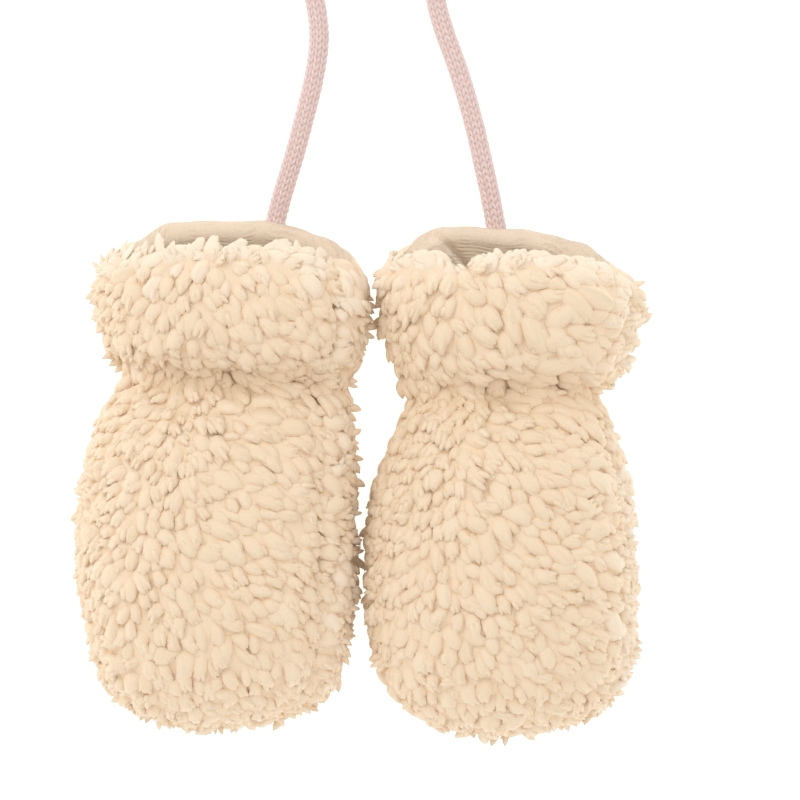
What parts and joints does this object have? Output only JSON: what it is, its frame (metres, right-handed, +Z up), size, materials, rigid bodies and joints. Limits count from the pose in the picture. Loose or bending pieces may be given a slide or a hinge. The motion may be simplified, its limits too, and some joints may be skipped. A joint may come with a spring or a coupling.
{
  "type": "pair of baby mittens",
  "caption": "Baby mittens in long-pile teddy cloth with gathered wrists, plush lining and a knitted cord that joins them, lying on their backs.",
  "frame": {"origin": "middle of the pair's footprint, on the surface that it lies on, the cord left out", "axes": "+X to the right seen from above with the cuffs at the top, +Y from the tips to the cuffs, +Z up from the surface"},
  "size_m": [0.1624, 0.3088, 0.042],
  "materials": {
    "teddy_cloth": "long-pile teddy cloth in plump locks, warm cream, matt with a soft sheen",
    "lining_plush": "short-pile plush, beige, soft sheen",
    "knitted_cord": "stocking-stitch tube, dusty pink, matt yarn"
  },
  "bodies": {
    "root": {"left_shell_front": "teddy_cloth", "left_shell_back": "teddy_cloth", "left_lining_front": "lining_plush", "left_lining_back": "lining_plush", "right_shell_front": "teddy_cloth", "right_shell_back": "teddy_cloth", "right_lining_front": "lining_plush", "right_lining_back": "lining_plush", "cord_left": "knitted_cord", "cord_right": "knitted_cord", "cord_coil": "knitted_cord"}
  },
  "joints": []
}
